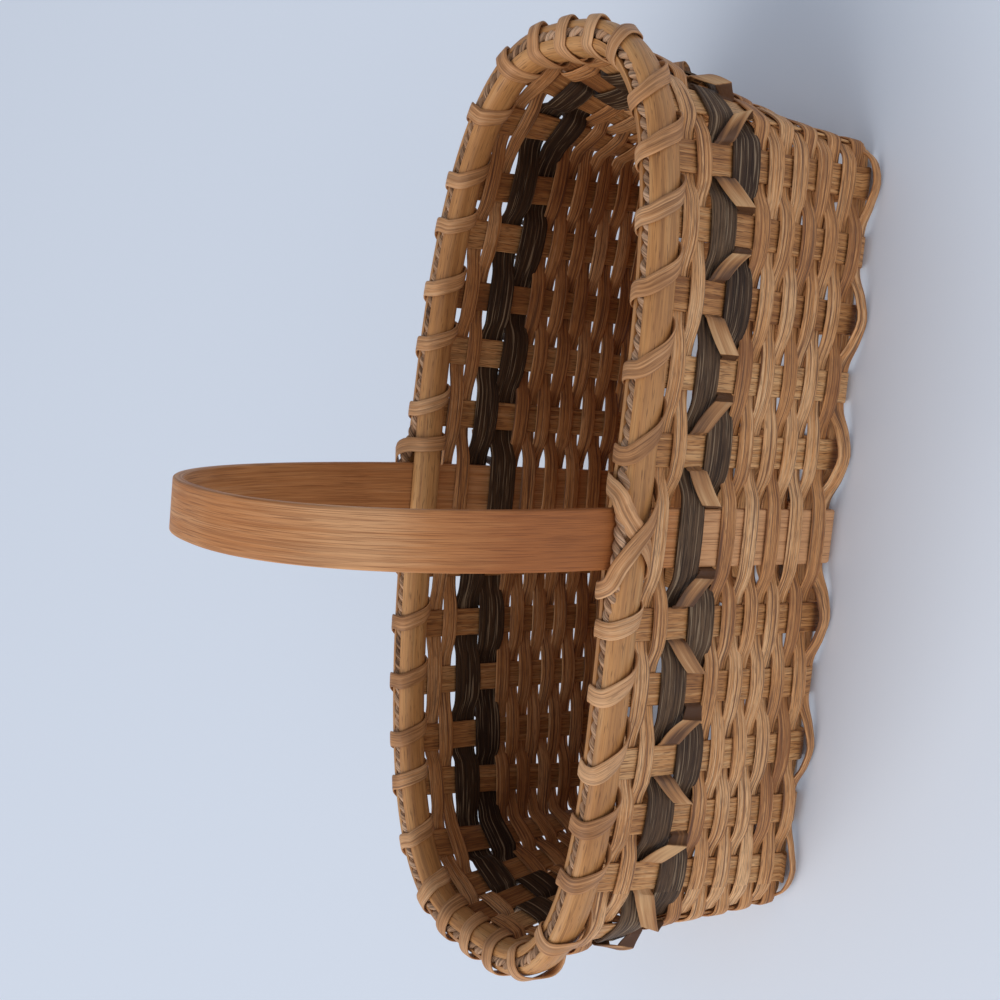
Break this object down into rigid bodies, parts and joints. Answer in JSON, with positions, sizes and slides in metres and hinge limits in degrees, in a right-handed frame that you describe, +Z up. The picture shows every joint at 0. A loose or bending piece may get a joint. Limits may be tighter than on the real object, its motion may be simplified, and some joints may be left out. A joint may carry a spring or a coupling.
{
  "type": "harvest basket",
  "caption": "Oblong splint harvest basket with an arched oak handle, lashed double rim, two dark woven bands and a curled overlay strip.",
  "frame": {"origin": "centre of the bottom face, on the surface that the basket stands on", "axes": "+X along the basket's length, +Y across it towards the far wall, +Z up to the handle's top"},
  "size_m": [0.484, 0.2034, 0.3285],
  "materials": {
    "oak_handle": "satin",
    "stake_reed": "matte",
    "weaver_reed": "matte",
    "dyed_reed": "matte",
    "rim_reed": "satin",
    "lashing_reed": "matte",
    "seagrass": "matte"
  },
  "bodies": {
    "root": {"handle": "oak_handle", "cross_stake_01": "stake_reed", "cross_stake_02": "stake_reed", "cross_stake_03": "stake_reed", "cross_stake_04": "stake_reed", "cross_stake_05": "stake_reed", "cross_stake_06": "stake_reed", "cross_stake_07": "stake_reed", "cross_stake_08": "stake_reed", "cross_stake_09": "stake_reed", "cross_stake_10": "stake_reed", "long_stake_01": "stake_reed", "long_stake_02": "stake_reed", "long_stake_03": "stake_reed", "long_stake_04": "stake_reed", "long_stake_05": "stake_reed", "long_stake_06": "stake_reed", "long_stake_07": "stake_reed", "weaver_row_01": "weaver_reed", "weaver_row_02": "weaver_reed", "weaver_row_03": "weaver_reed", "weaver_row_04": "weaver_reed", "weaver_row_05": "weaver_reed", "weaver_row_06": "weaver_reed", "weaver_row_07": "weaver_reed", "weaver_row_08": "weaver_reed", "weaver_row_09": "weaver_reed", "weaver_row_10": "weaver_reed", "dark_row_11": "dyed_reed", "dark_row_12": "dyed_reed", "weaver_row_13": "weaver_reed", "weaver_row_14": "weaver_reed", "curl_strip": "lashing_reed", "outer_rim": "rim_reed", "inner_rim": "rim_reed", "seagrass_cord": "seagrass", "lashing": "lashing_reed", "cross_lashing_near": "lashing_reed", "cross_lashing_far": "lashing_reed"}
  },
  "joints": []
}
